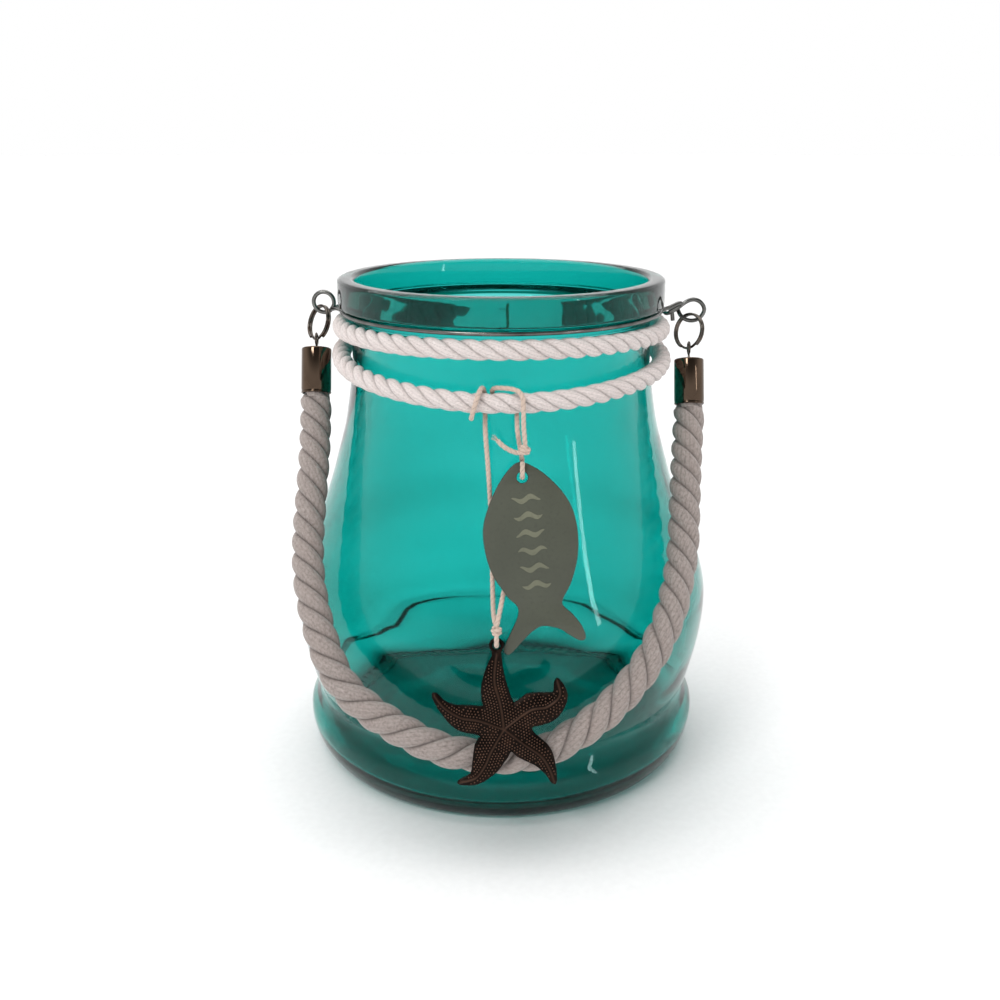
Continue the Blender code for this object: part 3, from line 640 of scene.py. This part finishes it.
def handle_profile():
    plain = laid(HANDLE_ROPE_RADIUS, 3, -1, 20.4, 26.4, 0.8, depth=0.42, seed=8)
    thin = (CAP_RADIUS - CAP_WALL - 0.25) / HANDLE_ROPE_RADIUS
    inside = CAP_LENGTH - ROPE_START

    def profile(s, angle, whole):
        r, groove = plain(s, angle, whole)
        near_end = np.minimum(s, whole - s)
        squeeze = thin + (1 - thin) * np.clip((near_end - inside) / 2.2, 0, 1)
        return r * squeeze, groove

    return profile


handle_line = handle_rope_line()
handle = rope("handle_rope_laid", handle_line, 0.42, 120, handle_profile(), GREY_COTTON)
put(handle, "handle", "grey_cotton_rope", "handle_rope")


def coil(centre, along, radius, turns, pitch):
    """A few turns round a strand, for a knot."""
    along = unit(along)
    across = unit(np.cross(along, [0.2, 1.0, 0.1]))
    other = np.cross(along, across)
    t = np.linspace(0, turns, int(turns * 18) + 1)[:, None]
    a = 2 * math.pi * t
    return (np.asarray(centre) + (across * np.cos(a) + other * np.sin(a))
            * radius * (0.55 + 0.45 * np.sin(np.pi * (0.12 + 0.76 * t / turns)))
            + along * (t - turns / 2) * pitch)


def string_piece(name, line, radius, seed):
    return rope(name, line, 0.22, 20, laid(radius, 2, 1, 3.6, 3.6, 0.0, depth=0.28, ends=0.5,
                                           seed=seed), CREAM)


def fray(name, tip, back, count, length, spread):
    """Loose fibres at a cut end."""
    curve = bpy.data.curves.new(name, "CURVE")
    curve.dimensions = "3D"
    curve.bevel_depth = 0.085 * MM
    curve.bevel_resolution = 1
    curve.use_fill_caps = True
    tip, back = np.asarray(tip), unit(back)
    for _ in range(count):
        out = np.array([rng.uniform(-1, 1) for _ in range(3)])
        out = unit(out - back * out.dot(back))
        reach = length * rng.uniform(0.6, 1.0)
        start = tip + back * 0.5 + out * 0.3
        bend = rng.uniform(0.3, 1.0) * spread
        points = [start, tip - back * reach * 0.4 + out * (0.4 + bend * 0.35),
                  tip - back * reach + out * (0.45 + bend)]
        spline = curve.splines.new("POLY")
        line = smooth(points, 4)
        spline.points.add(len(line) - 1)
        for i, place in enumerate(line):
            spline.points[i].co = (*(place * MM), 1.0)
            spline.points[i].radius = 1.0 - 0.6 * i / (len(line) - 1)
    curve.materials.append(CREAM)
    return in_scene(name, curve)


star_knot = string_piece("star_knot", coil(threading(STAR_HOLE, STAR_TILT, [(4.6, 1.9)])[0],
                                           (0.05, 0.2, 1.0), 1.15, 2.1, 0.95), 0.6, 11)
fish_knot = string_piece("fish_knot", coil((6.95, -62.8, 125.2), (0.25, 0.1, 1.0), 1.3, 2.4, 0.85),
                         0.62, 12)
fish_fray = fray("fish_string_fray", FISH_STRING[0], FISH_STRING[6] - FISH_STRING[0], 14, 2.0, 0.7)
for name, line, body, node, extra in (
        ("star_string_laid", STAR_STRING, "star_line", "star_string", [star_knot]),
        ("fish_string_laid", FISH_STRING, "fish_line", "fish_string", [fish_knot, fish_fray])):
    string = string_piece(name, line, STRING_RADIUS, len(extra))
    put(string, body, "cream_string", node)
    for piece in extra:
        put(piece, body, "cream_string")


# ------------------------------------------------------------------ hanging plates
def filled_curve(name, rings, half, bevel=0.0):
    """A flat filled outline in millimetres, as a 2D curve."""
    curve = bpy.data.curves.new(name, "CURVE")
    curve.dimensions = "2D"
    curve.fill_mode = "BOTH"
    curve.extrude = (half - bevel) * MM
    curve.bevel_depth = bevel * MM
    curve.bevel_resolution = 2
    curve.offset = -bevel * MM
    for ring in rings:
        spline = curve.splines.new("POLY")
        spline.points.add(len(ring) - 1)
        spline.use_cyclic_u = True
        for i, place in enumerate(ring):
            spline.points[i].co = (place[0] * MM, place[1] * MM, 0.0, 1.0)
    return in_scene(name, curve)


def as_mesh(made, voxel=None):
    """The object as a plain mesh, remeshed evenly if a voxel size is given."""
    if voxel:
        solid = made.modifiers.new("Even", "REMESH")
        solid.mode = "VOXEL"
        solid.voxel_size = voxel * MM
        solid.use_smooth_shade = True
    bpy.context.view_layer.update()
    graph = bpy.context.evaluated_depsgraph_get()
    mesh = bpy.data.meshes.new_from_object(made.evaluated_get(graph))
    name = made.name
    bpy.data.objects.remove(made, do_unlink=True)
    new = in_scene(name, mesh)
    work = bmesh.new()
    work.from_mesh(mesh)
    bmesh.ops.remove_doubles(work, verts=work.verts, dist=0.004 * MM)
    work.to_mesh(mesh)
    work.free()
    return new


def circle(radius, count=40):
    a = 2 * math.pi * np.arange(count) / count
    return np.stack([radius * np.cos(a), radius * np.sin(a)], axis=1)


def stand(piece, place, tilt):
    piece.matrix_world = (Matrix.Translation(Vector(place) * MM)
                          @ Matrix.Rotation(math.pi / 2 - tilt, 4, "X"))


def tag_material(name, face, rim, rough):
    """Paint with fine specks on the faces and dark edges."""
    made, tree, shader = surface(name, Metallic=0.0, Coat_Weight=0.12, Coat_Roughness=0.35)
    place = object_place(tree)
    normal = add(tree, "TexCoord", out=1)
    facing = add(tree, "Math", props={"operation": "ABSOLUTE"},
                 _0=add(tree, "SeparateXYZ", out=2, Vector=normal))
    cloud = add(tree, "TexNoise", Vector=place, Scale=55.0, Detail=5.0)
    colour = ramp(tree, cloud, [(0.3, tuple(c * 0.86 for c in face)),
                                (0.7, tuple(c * 1.1 for c in face))])
    specks = add(tree, "TexNoise", Vector=place, Scale=900.0, Detail=3.0)
    colour = mix(tree, colour, (*(c * 0.72 for c in face), 1.0),
                 ramp(tree, specks, [(0.52, grey(0.0)), (0.72, grey(0.5))]))
    colour = mix(tree, (*rim, 1.0), colour,
                 ramp(tree, facing, [(0.82, grey(0.0)), (0.97, grey(1.0))]))
    link(tree, colour, shader, "Base Color")
    link(tree, ramp(tree, cloud, [(0.3, grey(rough)), (0.7, grey(rough * 1.3))]), shader,
         "Roughness")
    link(tree, add(tree, "Bump", Height=specks, Strength=0.25, Distance=0.03 * MM), shader,
         "Normal")
    return made


WAVES, WAVE_START, WAVE_SPACING = 6, (1.1, -6.4), 5.2
WAVE_HALF_WIDTH, WAVE_SLANT = 4.4, math.radians(7.3)


def make_tag():
    paint = tag_material("tag_grey_green", (0.056, 0.062, 0.041), (0.008, 0.01, 0.008), 0.4)
    tag = filled_curve("tag_plate", [smooth(TAG_OUTLINE, 6, cyclic=True), circle(TAG_HOLE_RADIUS)],
                       TAG_THICKNESS / 2, 0.14)
    tag = as_mesh(tag)
    tag.data.materials.append(paint)
    tag.data.shade_smooth()
    tag.data.set_sharp_from_angle(angle=math.radians(35))
    stand(tag, TAG_HOLE, TAG_TILT)
    put(tag, "fish", "tag_grey_green", "fish_tag")
    pale = tag_material("tag_motif", (0.14, 0.145, 0.095), (0.14, 0.145, 0.095), 0.5)
    slant = WAVE_SLANT
    for i in range(WAVES):
        t = np.linspace(-1, 1, 61)
        x = WAVE_HALF_WIDTH * t
        y = 0.62 * np.sin(2 * math.pi * t * 0.75 + 0.5 * math.pi * i)
        thick = 0.85 * np.clip(1 - t ** 2, 0, 1) ** 0.7
        ribbon = np.vstack([np.stack([x, y + thick], 1), np.stack([x, y - thick], 1)[-2:0:-1]])
        turn = np.array([[math.cos(slant), -math.sin(slant)], [math.sin(slant), math.cos(slant)]])
        down = np.array([math.sin(slant), -math.cos(slant)])
        middle = np.array(WAVE_START) + i * WAVE_SPACING * down
        wave = as_mesh(filled_curve(f"tag_wave_{i + 1}", [ribbon @ turn.T + middle], 0.06, 0.02))
        wave.data.materials.append(pale)
        wave.matrix_world = (Matrix.Translation(Vector(TAG_HOLE) * MM)
                             @ Matrix.Rotation(math.pi / 2 - TAG_TILT, 4, "X")
                             @ Matrix.Translation((0, 0, (TAG_THICKNESS / 2 + 0.03) * MM)))
        put(wave, "fish", "tag_grey_green")


def star_outline():
    def sides(stations):
        middle = smooth(stations, 6)
        along = unit(np.gradient(middle[:, :2], axis=0))
        across = np.stack([-along[:, 1], along[:, 0]], axis=1) * middle[:, 2:]
        tip = middle[-1, :2] + along[-1] * middle[-1, 2]
        return np.vstack([middle[:, :2] + across, tip, (middle[:, :2] - across)[::-1]])

    a = np.radians(232 - 284 / 16 * np.arange(17))
    eye = np.stack([np.cos(a), np.sin(a)], axis=1) * STAR_EYE_RADIUS
    parts = [eye, smooth(STAR_TOP_ARM_RIGHT, 4)]
    for notch, arm in zip(STAR_NOTCHES, STAR_ARMS):
        parts += [np.array([notch]), sides(arm)]
    return np.vstack(parts + [np.array([STAR_NOTCHES[-1]]), smooth(STAR_TOP_ARM_LEFT, 4)])


def nearest(points, line):
    """Each point's distance to a line of straight pieces."""
    best = np.full(len(points), 1e9)
    for a, b in zip(line[:-1], line[1:]):
        ab = b - a
        t = np.clip(((points - a) @ ab) / max(ab @ ab, 1e-12), 0, 1)[:, None]
        best = np.minimum(best, np.linalg.norm(points - a - t * ab, axis=1))
    return best


def bronze_material():
    made, tree, shader = surface("antique_bronze", Metallic=0.85, Specular_IOR_Level=0.2)
    place = object_place(tree)
    tone = add(tree, "TexNoise", Vector=place, Scale=260.0, Detail=4.0)
    colour = ramp(tree, tone, [(0.3, (0.006, 0.004, 0.003)), (0.6, (0.013, 0.008, 0.006)),
                               (0.8, (0.035, 0.018, 0.011))])
    # copper on the arms' crests and on the studs, the casting's own colour
    high = add(tree, "Attribute", out=2, props={"attribute_name": "groove"})
    link(tree, mix(tree, colour, (0.26, 0.14, 0.095, 1.0), high), shader, "Base Color")
    link(tree, ramp(tree, tone, [(0.3, grey(0.3)), (0.7, grey(0.5))]), shader, "Roughness")
    grain = add(tree, "TexNoise", Vector=place, Scale=1500.0, Detail=3.0)
    link(tree, add(tree, "Bump", Height=grain, Strength=0.4, Distance=0.05 * MM), shader, "Normal")
    return made


STAR_HALF_THICKNESS = 1.2
STUD_STEP, STUD_ROW_STEP, STUD_GAP, STUD_RADIUS = 0.93, 0.8, 0.74, 0.25


def make_star():
    """The casting: a domed body with a ridge on each arm, and rows of studs beside them."""
    outline, hole = star_outline(), circle(STAR_HOLE_RADIUS)
    edges = [np.vstack([outline, outline[:1]]), np.vstack([hole, hole[:1]])]
    centre = np.array(STAR_CENTRE)
    ridges = [smooth([centre, (1.2, -18.0), (-0.6, -11.0), (-0.3, -5.0), (0.1, -2.6)], 8)]
    ridges += [smooth(np.vstack([centre, np.array(arm)[:, :2]]), 8) for arm in STAR_ARMS]

    def height(xy):
        """Height, distance from the edge, distance from a ridge, and how much of a ridge."""
        inside = np.minimum(nearest(xy, edges[0]), nearest(xy, edges[1]))
        dome = 0.4 + 1.1 * (1 - np.exp(-inside / 2.0))
        ridge = np.min([nearest(xy, r) for r in ridges], axis=0)
        fade = np.clip(inside / 0.7, 0, 1)
        crest = np.exp(-(ridge / 0.24) ** 2) * fade
        return (dome + 0.26 * crest - 0.16 * np.exp(-((ridge - 0.55) / 0.2) ** 2) * fade,
                inside, ridge, crest)

    body = as_mesh(filled_curve("starfish_body", [outline, hole], STAR_HALF_THICKNESS), voxel=0.26)
    mesh = body.data
    co = coordinates(mesh) / MM
    t = np.clip(co[:, 2] / STAR_HALF_THICKNESS, -1, 1)
    high, inside, _, crest = height(co[:, :2])
    co[:, 2] = np.where(t > 0, t * high, t * (0.45 + 0.35 * np.clip(inside, 0, 1)))
    mesh.vertices.foreach_set("co", (co * MM).ravel())
    mark = mesh.attributes.new("groove", "FLOAT", "POINT")
    mark.data.foreach_set("value", np.where(t > 0.4, 0.2 * crest, 0.0))
    mesh.materials.clear()
    bronze = bronze_material()
    mesh.materials.append(bronze)
    mesh.shade_smooth()
    stand(body, STAR_HOLE, STAR_TILT)
    put(body, "starfish", "antique_bronze", "starfish_pendant")

    spots = []
    for ridge in ridges:
        line = evenly(np.column_stack([ridge, np.zeros(len(ridge))]), STUD_STEP)[:, :2]
        along = unit(np.gradient(line, axis=0))
        for row in range(1, 8):
            for side in (-1, 1):
                for i in range(len(line)):
                    slide = along[i] * (0.45 if row % 2 else 0.0)
                    spots.append(line[i] + slide + side * (0.15 + STUD_ROW_STEP * row)
                                 * np.array([-along[i][1], along[i][0]]))
    spots = np.array(spots)
    flat = height(spots)
    cross = np.zeros(len(spots), int)
    for a, b in zip(edges[0][:-1], edges[0][1:]):
        if a[1] != b[1]:
            at = (b[0] - a[0]) * (spots[:, 1] - a[1]) / (b[1] - a[1]) + a[0]
            cross += ((a[1] > spots[:, 1]) != (b[1] > spots[:, 1])) & (spots[:, 0] < at)
    kept = []
    for i in np.nonzero((cross % 2 == 1) & (flat[1] > 0.55) & (flat[2] > 0.62)
                        & (spots[:, 1] < -4.5))[0]:
        if all(np.hypot(*(spots[i] - spots[k])) > STUD_GAP for k in kept):
            kept.append(i)
    verts, faces = [], []
    for i in kept:
        x, y = spots[i]
        z, size = flat[0][i], STUD_RADIUS * rng.uniform(0.85, 1.1)
        first = len(verts)
        for reach, rise in ((1.0, -0.12), (0.86, 0.1), (0.45, 0.2)):
            verts += [(x + size * reach * math.cos(a), y + size * reach * math.sin(a), z + rise)
                      for a in 2 * math.pi * np.arange(8) / 8]
        verts += [(x, y, z + 0.23), (x, y, z - 0.2)]
        for j in range(8):
            k = (j + 1) % 8
            faces += [(first + j, first + k, first + 8 + k, first + 8 + j),
                      (first + 8 + j, first + 8 + k, first + 16 + k, first + 16 + j),
                      (first + 16 + j, first + 16 + k, first + 24),
                      (first + 25, first + k, first + j)]
    studs = mesh_piece("starfish_studs", verts, faces, bronze, groove=np.ones(len(verts)) * 0.55)
    stand(studs, STAR_HOLE, STAR_TILT)
    put(studs, "starfish", "antique_bronze")


make_tag()
make_star()


# ------------------------------------------------------------------ floor, light, camera
def floor():
    made, tree, shader = surface("paper", Roughness=0.9, Specular_IOR_Level=0.1)
    place = object_place(tree)
    tooth = add(tree, "TexNoise", Vector=place, Scale=400.0, Detail=2.0)
    link(tree, ramp(tree, tooth, [(0.3, grey(0.9)), (0.7, grey(0.93))]), shader, "Base Color")
    ground = turned("floor", [(0.0, -0.3), (12000.0, -0.3)], 96, made)
    ground.data.flip_normals()


def area_light(name, place, target, size, power, colour=(1, 1, 1)):
    light = bpy.data.lights.new(name, "AREA")
    light.shape = "RECTANGLE"
    light.size, light.size_y = size
    light.energy = power
    light.color = colour
    made = in_scene(name, light)
    made.location = place
    made.rotation_euler = (Vector(target) - Vector(place)).to_track_quat("-Z", "Y").to_euler()


floor()
area_light("window", (-0.42, -0.75, 0.85), (0, 0, 0.1), (0.3, 0.3), 4.0)
area_light("strip", (0.75, -0.6, 0.35), (0, 0, 0.1), (0.04, 0.36), 0.5)
sun = bpy.data.lights.new("overhead", "SUN")
sun.energy, sun.angle = 2.3, math.radians(80)
overhead = in_scene("overhead", sun)
overhead.rotation_euler = (math.radians(-14), math.radians(-8), 0)

world = bpy.data.worlds.new("studio")
bpy.context.scene.world = world
world.use_nodes = True
sky = world.node_tree.nodes["Background"]
sky.inputs["Strength"].default_value = 1.0
# a white sweep behind and a dim room on the side of the camera
room = world.node_tree
up = add(room, "SeparateXYZ", out=2, Vector=add(room, "TexCoord"))
back = add(room, "Math", props={"operation": "MULTIPLY_ADD"}, _0=up.node.outputs[1],
           _1=0.5, _2=0.5)
sweep_light = ramp(room, up, [(0.0, grey(1.0)), (0.25, grey(1.0)), (0.6, grey(0.42)),
                              (1.0, grey(0.42))])
dimming = mix(room, sweep_light, ramp(room, back, [(0.15, grey(0.3)), (0.5, grey(1.0))]),
              ramp(room, up, [(0.18, grey(0.0)), (0.45, grey(1.0))]), blend="MULTIPLY")
room.links.new(dimming, sky.inputs["Color"])

view = bpy.context.scene.view_settings
view.view_transform = "Standard"
view.look = "None"
bpy.context.scene.cycles.max_bounces = 24
bpy.context.scene.cycles.transmission_bounces = 24
bpy.context.scene.cycles.transparent_max_bounces = 16

lens = bpy.data.cameras.new("camera")
lens.sensor_width, lens.lens = 36.0, 39.34
lens.shift_x, lens.shift_y = -0.0012, 0.0106
lens.clip_start, lens.clip_end = 0.01, 50.0
camera = in_scene("camera", lens)
camera.location = (0.0, -0.3746, 0.21385)
camera.rotation_euler = (math.radians(70.94), 0.0, 0.0)
bpy.context.scene.camera = camera
